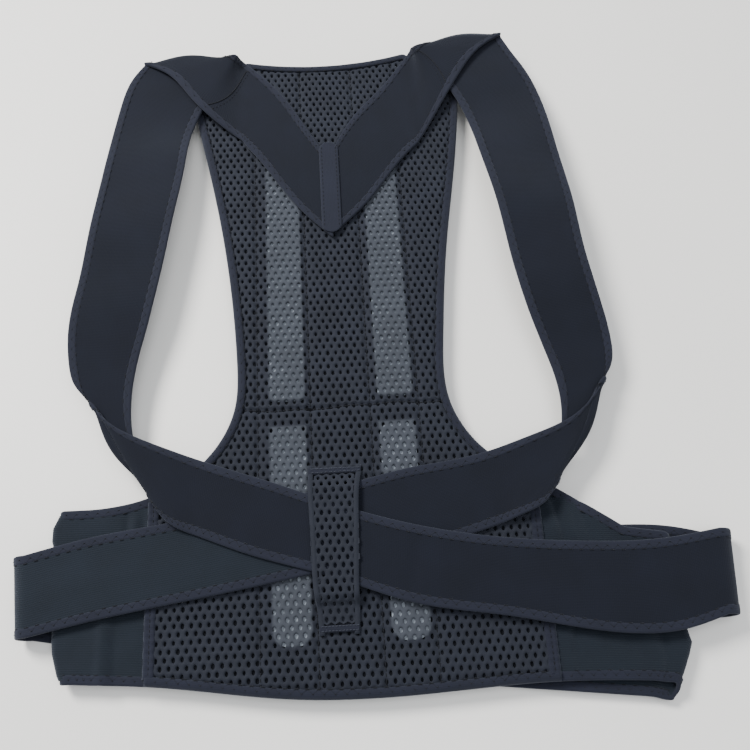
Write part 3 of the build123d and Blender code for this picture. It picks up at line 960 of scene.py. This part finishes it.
left_band = band_of(
    run(
        [
            (-0.4, 246, -0.4, 311, UNDER_Z), (-24, 272, -9, 327, UNDER_Z), (-50, 312, -24, 355, UNDER_Z),
            (-62, 329, -42, 383, UNDER_Z), (-68, 336, -61.5, 404, UNDER_Z), (-97.5, 363, -66.5, 405.5, 14.4),
            (-118, 390, -69, 406, 15.4), station(LEFT_SHOULDER_FOLD, 14.8),
        ],
        1,
    ),
    turn(LEFT_SHOULDER_FOLD, SHOULDER_Z, FOLD_RADIUS, True),
    run(
        [
            station(LEFT_SHOULDER_FOLD, 12.2), (-147, 390, -84, 378, 10.8), (-153.5, 370, -96, 354, 10.4),
            (-162.4, 309, -104.6, 308, 15), (-168.7, 257, -112.5, 257, 18), (-175.5, 210, -121.8, 205, 17),
            (-179.7, 179, -129.3, 173, 14), (-177.9, 153, -135, 147, 10.5), (-172.5, 140, -136, 112, 9),
            station(LEFT_HIP_FOLD, 9.2),
        ],
        -1,
    ),
    turn(LEFT_HIP_FOLD, HIP_Z, FOLD_RADIUS, False),
    run(
        [
            station(LEFT_HIP_FOLD, 11.8), (-151, 115.5, -117.5, 55.5, 12.6),
            (-123, 99.5, -106.5, 44.5, 11.5), (-90.3, 86, -94.3, 39, OVER_Z), (-45, 69, -58, 24, OVER_Z),
            (-8, 54, -12, 9, OVER_Z), (40, 38, 36, -9, OVER_Z), (99, 26, 94, -20.5, OVER_Z),
            (149, 21, 144, -31.5, OVER_Z), (196, 20.5, 194, -34.5, OVER_Z), station(LEFT_END_FOLD, OVER_Z),
        ],
        1,
    ),
    turn(LEFT_END_FOLD, (OVER_Z + TAIL_Z) / 2, (OVER_Z - TAIL_Z) / 2, True),
    run(
        [
            station(LEFT_END_FOLD, TAIL_Z), (205, 30.5, 204, -22, TAIL_Z), (154, 34, 154, -17.5, TAIL_Z),
            (80, 40, 80, -11, TAIL_Z),
        ],
        -1,
    ),
)  # fmt: skip
right_band = band_of(
    run(
        [
            (0.4, 250, 0.4, 317, UNDER_Z), (24, 273, 10, 336, UNDER_Z), (50, 307, 28, 361, UNDER_Z),
            (62, 320, 44, 379, UNDER_Z), (68, 327.5, 61.4, 402.5, UNDER_Z), (99, 377, 66, 405.5, 14.4),
            (118, 402, 70, 407, 15.4), station(RIGHT_SHOULDER_FOLD, 14.8),
        ],
        1,
    ),
    turn(RIGHT_SHOULDER_FOLD, SHOULDER_Z, FOLD_RADIUS, True),
    run(
        [
            station(RIGHT_SHOULDER_FOLD, 12.2), (146, 394, 86, 382, 10.8), (155.3, 372, 97, 358, 10.4),
            (164.2, 312, 107.9, 311, 16), (169.2, 255, 116.2, 257, 20), (172.4, 209, 122.6, 205, 19),
            (178.7, 175, 129.9, 171, 15), (181.3, 150, 137.5, 144, 10.5), (179, 137, 142, 112, 9),
            station(RIGHT_HIP_FOLD, 9.2),
        ],
        -1,
    ),
    turn(RIGHT_HIP_FOLD, HIP_Z, FOLD_RADIUS, False),
    run(
        [
            station(RIGHT_HIP_FOLD, 11.8), (157, 108.5, 125, 48.5, 12.6), (122, 91.5, 107, 39.5, 10.5),
            (90.3, 82.5, 94.7, 35.5, UNDER_Z), (42, 75, 50, 24, UNDER_Z), (0, 66.5, 6, 16.5, UNDER_Z),
            (-40, 60, -33, 10, UNDER_Z), (-112, 48, -105, -1, UNDER_Z), (-157, 42, -152, -8, UNDER_Z),
            station(RIGHT_END_FOLD, UNDER_Z),
        ],
        1,
    ),
    turn(RIGHT_END_FOLD, (UNDER_Z + TAIL_Z) / 2, (UNDER_Z - TAIL_Z) / 2, True),
    run([station(RIGHT_END_FOLD, TAIL_Z), (-130, 22, -130, -28, TAIL_Z), (-62, 11, -62, -39, TAIL_Z)], -1),
)  # fmt: skip


# The tape's section on a strap edge: how far in from the edge, and the height over the strap's middle.
STRAP_TAPE = [
    (5.5, 0.80), (5.2, 1.08), (4.5, 1.2), (3.6, 1.18), (2.7, 1.18), (1.7, 1.2), (0.8, 1.14), (0.2, 0.85),
    (-0.05, 0.4), (-0.05, -0.4), (0.2, -0.85), (0.8, -1.14), (1.7, -1.2), (2.7, -1.18), (3.6, -1.18),
    (4.5, -1.2), (5.2, -1.08), (5.5, -0.80),
]  # fmt: skip


STRAP_ROWS = (2.7, 5.6)  # how far in from the edge its needle marks and its stitches lie


def nearest_station(band, x, y, z):
    """The distance along a band of its section nearest to a point."""
    middle = (band.a + band.b) / 2
    return band.at[np.argmin(np.linalg.norm(middle - np.array([x, y, z]), axis=1))]


def cross_seam(band, at_a, at_b):
    """A sewn edge and its stitches across a strap, between a place on edge a and one on edge b."""
    first, last = (
        band.at[np.argmin(np.linalg.norm(edge[:, :2] - np.array(place), axis=1))]
        for edge, place in ((band.a, at_a), (band.b, at_b))
    )
    share = np.linspace(0.1, 0.9, 31)

    def line(along, height):
        u = first + (last - first) * share + along
        width = np.interp(u, band.at, band.width)
        return band.point(u, share * width, np.full(len(u), height))

    edge, row = line(0.0, 0.78), line(-2.4, 0.86)
    ups = np.broadcast_to(UP, edge[:-1].shape)
    return [
        bars(edge[:-1], edge[1:] + 0.3 * (edge[1:] - edge[:-1]), 0.5, ups),
        bars(row[:-1:2], row[1::2], 0.28, ups[::2]),
    ]


def strap_pieces(name, band, material, ribs, nodes, seam=None):
    """A stretch of strap: its cloth, its two edge tapes and their stitches, and the stitches of a seam across
    it when one is given.
    """
    cloth = sweep(f"{name}_cloth", band.spaced(2.6), web_section(1.7, 4.4, ribs), material)
    fine = band.spaced(TAPE_STEP)
    tapes, threads = [], []
    lift_a = fine.lift(fine.at, 0 * fine.at, fine.width)
    lift_b = fine.lift(fine.at, fine.width, fine.width)
    for side, path, way, lift in (("a", fine.a, 1, lift_a), ("b", fine.b, -1, lift_b)):
        inward = fine.across * way
        lifted = path + fine.n * lift[:, None]
        tapes.append(edge_tape(f"{name}_tape_{side}", lifted, inward, fine.n, STRAP_TAPE, tape_cloth, 0.16))
        for face in (1, -1):
            threads.append(seam_stitches(lifted, inward, fine.n * face, *STRAP_ROWS, (1.06, 0.92)))
    if seam is not None:
        threads.extend(cross_seam(band, *seam))
    threads = stitch_piece(f"{name}_stitching", threads, thread)
    for made in (cloth, *tapes, threads):
        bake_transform(made)
    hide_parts(*[n for n in nodes if not n.endswith("_binding")])
    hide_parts(*[n for n in nodes if n.endswith("_binding")])
    return cloth


def loop_lift(seed, low, high):
    """A gentle unevenness, more in the free part of the loop than where the strap lies on the back."""

    def lift(u, s, w):
        free = smoothstep(u, low, low + 60) * smoothstep(high - u, 0, 60)
        return (0.08 + 0.75 * free) * drift(*np.broadcast_arrays(u, s), seed, 95.0)

    return lift


left_split = nearest_station(left_band, -10, 31.5, OVER_Z)
right_split = nearest_station(right_band, 3, 41.5, UNDER_Z)
left_band.lift = loop_lift(31, 150, left_split - 130)
right_band.lift = loop_lift(32, 150, right_split - 110)


crease_at = nearest_station(left_band, 39, 12, OVER_Z)
plain_lift = left_band.lift


def creased_lift(u, s, w):
    """The left strap's unevenness, with a crease across its waist run."""
    crease = 0.9 * bell(np.asarray(u) + 0.1 * s, crease_at + 2.5, 4.5)
    return plain_lift(u, s, w) - crease * np.sin(pi * np.clip(s / w, 0, 1))


left_band.lift = creased_lift

SWELL_REACH = 9.0
for band, fold, axis_z, amount in (
    (left_band, LEFT_SHOULDER_FOLD, SHOULDER_Z, 4.8),
    (right_band, RIGHT_SHOULDER_FOLD, SHOULDER_Z, 4.0),
    (left_band, LEFT_HIP_FOLD, HIP_Z, 4.4),
    (right_band, RIGHT_HIP_FOLD, HIP_Z, 4.4),
):
    (ax, ay), (bx, by), way = fold
    place = nearest_station(band, (ax + bx) / 2 + way[0] * 2, (ay + by) / 2 + way[1] * 2, axis_z)
    band.swells.append((place, SWELL_REACH, way, amount))

# Each strap from the yoke round its shoulder and hip folds, up to where its waist run starts.
for side, band, split, way, bodies, seam in (
    ("left", left_band, left_split, -1, ("back_panel", "left_shoulder_loop"), ((-96, 362), (-63, 397))),
    ("right", right_band, right_split, 1, ("back_panel", "right_shoulder_loop"), ((92, 366), (68, 402))),
):
    strap_pieces(
        f"{side}_strap_shoulder",
        band.part(0, split),
        strap_cloth,
        0.05,
        [f"{side}_strap_{part}" for part in ("yoke", "yoke_binding", "loop", "loop_binding")],
        seam,
    )
for side, band, split, x, run_z, ribs in (
    ("left", left_band, left_split, 228.0, OVER_Z, 0.05),
    ("right", right_band, right_split, -198.0, UNDER_Z, 0.13),
):
    strap_pieces(
        f"{side}_strap_waist",
        band.part(split, band.at[-1]),
        strap_cloth if side == "left" else elastic_cloth,
        ribs,
        [
            f"{side}_strap_{part}"
            for part in ("waist_run", "waist_run_binding", "fold", "tail", "tail_binding")
        ],
    )

# ---- the tape over the joint of the two straps ----
YOKE_TAPE_Z = UNDER_Z + 1.3
YOKE_TAPE_X, YOKE_TAPE_HALF = -1, 7
YOKE_TAPE_LOW, YOKE_TAPE_HIGH = 249.5, 326.5
rows = []
for y in np.arange(YOKE_TAPE_LOW, YOKE_TAPE_HIGH + 0.01, 1.1):
    short = max(YOKE_TAPE_HALF - min(y - YOKE_TAPE_LOW, YOKE_TAPE_HIGH - y), 0)
    half = float(np.sqrt(max(YOKE_TAPE_HALF**2 - short**2, 0.4)))
    rows.append((YOKE_TAPE_X - half, y, YOKE_TAPE_X + half, y, YOKE_TAPE_Z + 0.45))
yoke_band = band_of(run(rows, 1, 1.1))


def low_tape_section(width):
    share = np.array([0, 0.02, 0.09, 0.2, 0.35, 0.5, 0.65, 0.8, 0.91, 0.98, 1, 0.9, 0.7, 0.5, 0.3, 0.1])
    height = np.array([0, 0.28, 0.52, 0.5, 0.56, 0.58, 0.56, 0.5, 0.52, 0.28, 0, *[-0.4] * 5])
    return width[:, None] * share, np.broadcast_to(height, (len(width), len(share))).copy()


yoke_tape = sweep("yoke_center_tape_cloth", yoke_band, low_tape_section, tape_cloth)
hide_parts("yoke_center_tape")
yoke_lines = []
for x in (-6.2, 4.2):
    line = straight((x, 256), (x, 321))
    yoke_lines.append(sewn_line(line, lambda x, y: YOKE_TAPE_Z + 0.98 + 0 * x, 3.4, 1.1, 0.26))
yoke_stitching = stitch_piece("yoke_center_stitching", yoke_lines, thread)
held("back_panel", "binding_tape", yoke_tape, yoke_stitching)

# ---- mesh keeper over the crossing ----
KEEPER_HIGH = OVER_Z + 2.2
keeper_band = band_of(
    run(
        [
            (-24, 80, 10, 79, 6.0), (-24, 75.5, 10, 75.5, 6.3), (-24, 69.5, 9, 69.5, 9.3),
            (-24, 62, 8, 62, KEEPER_HIGH), (-23.2, 32, 6.5, 32, KEEPER_HIGH + 0.1),
            (-22, -2, 5, -2, KEEPER_HIGH), (-21, -9, 5, -9, 6.6), (-20, -25, 4, -25, 6.0),
        ],
        1,
        1.2,
    )
)  # fmt: skip
keeper_long = keeper_band.at[-1]


def keeper_keep(centre):
    u, s = centre[:, 1], centre[:, 0]
    width = np.interp(u, keeper_band.at, keeper_band.width)
    return (u > 5.5) & (u < keeper_long - 5.5) & (np.abs(s) < width / 2 - 1.9)


points, drop, faces = lattice((-5, 6), (0, 30), keeper_keep, KEEPER_PITCH, KEEPER_ROW, 17)
u, s = points[:, 1], points[:, 0]
width = np.interp(u, keeper_band.at, keeper_band.width)
placed = keeper_band.point(u, s + width / 2, 0.75 - 0.75 * drop)
bare = {"over_stay": np.zeros(len(points))}
keeper_mesh = make_piece("keeper_mesh", placed, faces[:, ::-1], knit, points, bare)
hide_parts("keeper_loop")


KEEPER_EDGE = [
    (3.3, 0.35), (2.9, 0.72), (2.0, 0.86), (1.0, 0.82), (0.3, 0.5), (0.0, 0.15),
    (0.0, -0.15), (0.3, -0.5), (1.0, -0.75), (2.0, -0.8), (2.9, -0.7), (3.3, -0.35),
]  # fmt: skip
fine = keeper_band.spaced(TAPE_STEP)
keeper_edges = [
    edge_tape("keeper_edge_a", fine.a, fine.across, fine.n, KEEPER_EDGE, knit, 0.0),
    edge_tape("keeper_edge_b", fine.b, -fine.across, fine.n, KEEPER_EDGE, knit, 0.0),
]
keeper_threads = []
HEM_STEP = 0.8
share = np.linspace(0.02, 0.98, 26)
for first, last in ((1.2, 6.2), (keeper_long - 6.2, keeper_long - 1.2)):
    hem = keeper_band.spaced(HEM_STEP).part(first, last)
    a, b, n = hem.a[:, None], hem.b[:, None], hem.n[:, None]
    places = [first, first + 0.8, first + 2.5, last - 0.8, last]
    profile = np.interp(hem.at, places, [0.35, 0.95, 1.1, 0.95, 0.35])
    sheet = a + (b - a) * share[None, :, None]
    points = np.concatenate([sheet + n * profile[:, None, None], (sheet - n * 0.7)[::-1]]).reshape(-1, 3)
    rows = 2 * len(hem.at)
    faces = grid_faces(rows, len(share), close_rows=True)
    cloth = np.column_stack([np.tile(share * 34, rows), np.repeat(np.arange(rows) * HEM_STEP, len(share))])
    hem_name = f"keeper_hem_{len(keeper_edges)}"
    keeper_edges.append(make_piece(hem_name, points, outward(faces, points), tape_cloth, cloth))
    for inset in (1.2, 3.8):
        steps = np.arange(0.06, 0.95, 0.085)
        place = first + inset
        width = float(np.interp(place, keeper_band.at, keeper_band.width))
        start = keeper_band.point(np.full(len(steps), place), steps * width, 1.12)
        end = keeper_band.point(np.full(len(steps), place), (steps + 0.062) * width, 1.12)
        keeper_threads.append(bars(start, end, 0.3, np.broadcast_to(UP, start.shape)))
keeper_threads = stitch_piece("keeper_stitching", keeper_threads, pale_thread)
held("back_panel", "spacer_mesh", keeper_mesh, *keeper_edges, keeper_threads)

# ---- elastic sides of the belt, folded back into the wings ----
BELT_MIDDLE_Z = 2.4
WING_MIDDLE_Z = -2.8
WING_CORNER = 14.0
BELT_TAPE = [(s, h * 1.15) for s, h in STRAP_TAPE]


def level(xs, low, high, z, normal):
    """A flat stretch of a band between two edges, at one height."""
    z = np.full(len(xs), z)
    normals = np.broadcast_to(normal, (len(xs), 3))
    return np.column_stack([xs, low, z]), np.column_stack([xs, high, z]), normals


def belt_side(name, seam_x, fold_x, tip_x, belt_edges, wing_edges, lift, fold_line):
    """One side of the belt and its wing as a band, its edge tape round three sides, and the stitches."""
    way = 1 if fold_x > seam_x else -1
    xs = np.linspace(seam_x, fold_x, 34)
    belt = level(xs, *(edge(xs) for edge in belt_edges), BELT_MIDDLE_Z, UP)
    angle = np.linspace(0, pi, 11)
    radius = (BELT_MIDDLE_Z - WING_MIDDLE_Z) / 2
    share = angle / pi
    ends = []
    for belt_edge, wing_edge in zip(belt_edges, wing_edges):
        y = belt_edge(np.array([fold_x])) * (1 - share) + wing_edge(np.array([fold_x])) * share
        x = fold_x + way * radius * np.sin(angle)
        ends.append(np.column_stack([x, y, (BELT_MIDDLE_Z + WING_MIDDLE_Z) / 2 + radius * np.cos(angle)]))
    normal = np.column_stack([way * np.sin(angle), 0 * angle, np.cos(angle)])
    fold = (ends[0], ends[1], normal)
    corner = np.linspace(0, pi / 2, 8)
    straight_x = np.linspace(fold_x, tip_x + way * WING_CORNER, 60)
    round_x = tip_x + way * WING_CORNER * (1 - np.sin(corner))
    inset = WING_CORNER * (1 - np.cos(corner))
    xs = np.concatenate([straight_x, round_x[1:]])
    narrow = np.concatenate([0 * straight_x, inset[1:]])
    low, high = (edge(xs) for edge in wing_edges)
    wing = level(xs, low + narrow, high - narrow, WING_MIDDLE_Z, -UP)
    band = band_of(belt, fold, wing)
    band.lift = lift
    trimmed = Band(band.a[:-2], band.b[:-2], band.n[:-2])
    trimmed.at = band.at[:-2]
    trimmed.lift = lift
    trimmed.fold_line = fold_line, way, fold_x
    ribbed = web_section(1.9, 2.5, 0.12, 1.35, 0.5)
    cloth = sweep(f"{name}_elastic_cloth", trimmed.spaced(1.5), ribbed, elastic_cloth)

    # The edge runs out along the top, round the wing's tip and back along the bottom.
    tip_low, tip_high = band.a[-1], band.b[-1]
    tip = tip_high + (tip_low - tip_high) * np.linspace(0, 1, 40)[1:-1, None]
    lifted_a = band.a + band.n * lift(band.at, 0 * band.at, band.width)[:, None]
    lifted_b = band.b + band.n * lift(band.at, band.width, band.width)[:, None]
    line = np.concatenate([lifted_b, tip, lifted_a[::-1]])
    down = np.broadcast_to(-UP, tip.shape)
    normals = np.concatenate([band.n, down, band.n[::-1]])
    at = chord(line)
    where = np.arange(0, at[-1], TAPE_STEP)
    normal = unit(read_at(where, at, normals))
    path = pulled(read_at(where, at, line), trimmed.fold_line)
    along = unit(softened(np.gradient(path, axis=0), 3))
    inward = unit(np.cross(normal, along))
    middle = (band.a + band.b)[len(band.at) // 2] / 2
    if ((middle - path[10]) * inward[10]).sum() < 0:
        inward = -inward
    tape = edge_tape(f"{name}_edge_tape", path, inward, normal, BELT_TAPE, tape_cloth, 0.16)
    sewn = [seam_stitches(path, inward, normal * face, *STRAP_ROWS, (1.24, 1.02)) for face in (1, -1)]
    threads = stitch_piece(f"{name}_edge_stitching", sewn, thread)
    side = name.split("_")[0]
    for made in (cloth, tape, threads):
        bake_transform(made)
    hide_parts(f"{side}_belt_elastic", f"{side}_belt_fold", f"{side}_wing")
    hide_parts(f"{side}_belt_binding", f"{side}_wing_binding")
    return cloth


def left_belt_lift(u, s, w):
    """The left side of the belt: a sunk band beside the seam, and small gathers above it."""
    u, s = np.broadcast_arrays(u, s)
    belt = smoothstep(54 - u, 0, 6)
    sunk = -1.3 * smoothstep(u, 3, 8) * smoothstep(29 - u, 0, 5) * smoothstep(80 - s, -6, 14)
    rim = 0.8 * bell(u, 32, 3.0) * smoothstep(92 - s, 0, 20)
    gathers = bell(u, 5, 2.2) - bell(u, 10, 2.0) + bell(u, 15, 2.6) - bell(u, 20, 2.2)
    gathers = 0.75 * bell(s, 93, 9) * gathers
    return belt * (sunk + rim + gathers + 0.28 * drift(u, s, 41, 26.0))


def right_belt_lift(u, s, w):
    """The right side of the belt: folds that fan from the seam, and a crease across the low corner."""
    u, s = np.broadcast_arrays(u, s)
    belt = smoothstep(78 - u, 0, 6)
    slant = u - 0.22 * (118 - s)
    folds = 0.7 * bell(slant, 9, 2.6) - 1.0 * bell(slant, 14, 2.2) + 0.8 * bell(slant, 20, 3.4)
    folds = folds - 0.9 * bell(slant, 31, 2.4) + 0.5 * bell(slant, 38, 4.0)
    low = bell(u, 14, 2.2) * 0.5 - bell(u, 19, 1.8) * 0.7
    crease = -1.3 * bell(u + 0.42 * s, 83, 3.6) + 0.8 * bell(u + 0.42 * s, 74, 5.0)
    total = folds * smoothstep(s, 60, 90) + low * smoothstep(70 - s, 0, 20)
    total = total + crease * smoothstep(62 - s, 0, 12)
    return belt * (total + 0.28 * drift(u, s, 42, 26.0))


left_cloth = belt_side(
    "left_belt",
    LEFT_SEAM_X + 4,
    LEFT_FOLD_X,
    -12.0,
    (lambda x: height_at(bottom, x), lambda x: height_at(stretch(left_side, high=-100), x)),
    (lambda x: -43 - (x + 187) * 3 / 175, lambda x: 61.5 - (x + 187) * 16.5 / 175),
    left_belt_lift,
    ((-45, -38, -26, -18, 30, 42, 50, 60), (-8, -4.5, -1, 0, 0, 4, 4, -0.5)),
)
right_top_line = joined(right_side, right_top)
right_cloth = belt_side(
    "right_belt",
    RIGHT_SEAM_X - 4,
    RIGHT_FOLD_X,
    12.0,
    (lambda x: height_at(bottom, x), lambda x: height_at(stretch(right_top_line, low=100), x)),
    (lambda x: -74 + (207 - x) * 24 / 195, lambda x: 20 + (207 - x) * 25 / 195),
    right_belt_lift,
    ((-70, -63, -55, -47, -41, -33, 0, 30), (-11, -9, -4.5, -0.5, 2, 0.5, 0, 0)),
)


# ---- gathered seams between the mesh and the elastic ----
ROLL = np.array(
    [(-3.4, 0.0), (-3.0, 0.7), (-2.0, 1.15), (-0.8, 1.1), (0.2, 0.75), (1.2, 1.0), (2.2, 1.1), (3.2, 0.5),
     (3.8, -0.6), (3.0, -1.2), (0.0, -1.2), (-3.0, -1.0)]
)  # fmt: skip


def gathered_seam(name, x, low, high, way, node_name):
    """A narrow rolled seam, bunched along its length."""
    line = respaced(straight((x, low), (x, high)), 1.1)
    y = line[:, 1]
    wave = 0.35 * np.sin(y * 1.35) + 0.25 * drift(y, 0 * y, 51, 9.0)
    s = ROLL[:, 0] * way + 0 * y[:, None]
    h = ROLL[:, 1] + wave[:, None] * (ROLL[:, 1] > 0) * 0.7
    points = np.stack([x + s + 0.25 * wave[:, None], y[:, None] + 0 * s, 4.35 + h], -1)
    points = points.reshape(-1, 3)
    faces = outward(tube_faces(*s.shape), points)
    piece = make_piece(name, points, faces, tape_cloth, points[:, :2])
    stitches = sewn_line(line, lambda x, y: 5.15 + 0 * x, 3.0, 1.1, 0.3)
    held("back_panel", "binding_tape", piece, stitch_piece(f"{name}_stitching", [stitches], thread))
    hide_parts(node_name)


gathered_seam("left_gathered_seam", LEFT_SEAM_X + 1, -43.5, 62.5, -1, "left_gather_tape")
gathered_seam("right_gathered_seam", RIGHT_SEAM_X - 1, -54.5, 61.0, 1, "right_gather_tape")


# ---- closure patches and hook pads ----
# A patch's rings from its foot up and in: the scale of its outline and the share of its thickness.
PATCH_RINGS = (
    (1.0, 0.0), (1.0, 0.7), (0.985, 1.0), (0.93, 1.0), (0.915, 0.75),
    (0.9, 1.0), (0.5, 1.0), (0.02, 1.0), (0.02, 0.0),
)  # fmt: skip


def patch(name, centre, size, z, thickness, corner, material, body, slot, node_name, lean=0.0):
    """A thin rounded patch with a stitched border."""
    half_x, half_y = size[0] / 2 - corner, size[1] / 2 - corner
    ring = []
    for quarter, (cx, cy) in enumerate(((1, 1), (-1, 1), (-1, -1), (1, -1))):
        for step in range(7):
            angle = quarter * pi / 2 + step * pi / 12
            ring.append((cx * half_x + corner * cos(angle), cy * half_y + corner * sin(angle)))
    rings = np.array(
        [[(x * scale, y * scale, rise * thickness) for x, y in ring] for scale, rise in PATCH_RINGS]
    )
    rows, columns = rings.shape[:2]
    faces = grid_faces(rows, columns, close_columns=True, close_rows=True)
    x, y, rise = rings.reshape(-1, 3).T
    points = np.column_stack([centre[0] + x, centre[1] + y + lean * x, rise + z])
    piece = make_piece(name, points, outward(faces, points), material, np.column_stack([x, y]))
    held(body, slot, piece)
    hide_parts(node_name)


WING_PATCH = (52, 68)
for name, centre, z, thickness, material, side, slot in (
    ("wing_hook_patch", (-50, -2), -1.9, 1.0, hook_cloth, "left", "hook_tape"),
    ("wing_loop_patch", (50, -2), -4.6, 0.95, loop_cloth, "right", "loop_fabric"),
):
    patch(name, centre, WING_PATCH, z, thickness, 8, material, f"{side}_wing", slot, f"{side}_{name}")
for side, centre, size, lean in (
    ("left", (118, 9), (64, 37), -0.095),
    ("right", (-99, -8), (62, 37), -0.165),
):
    body, node_name = f"{side}_strap_end", f"{side}_strap_hook_pad"
    patch(f"{side}_hook_pad", centre, size, -6.25, 0.9, 5, hook_cloth, body, "hook_tape", node_name, lean)
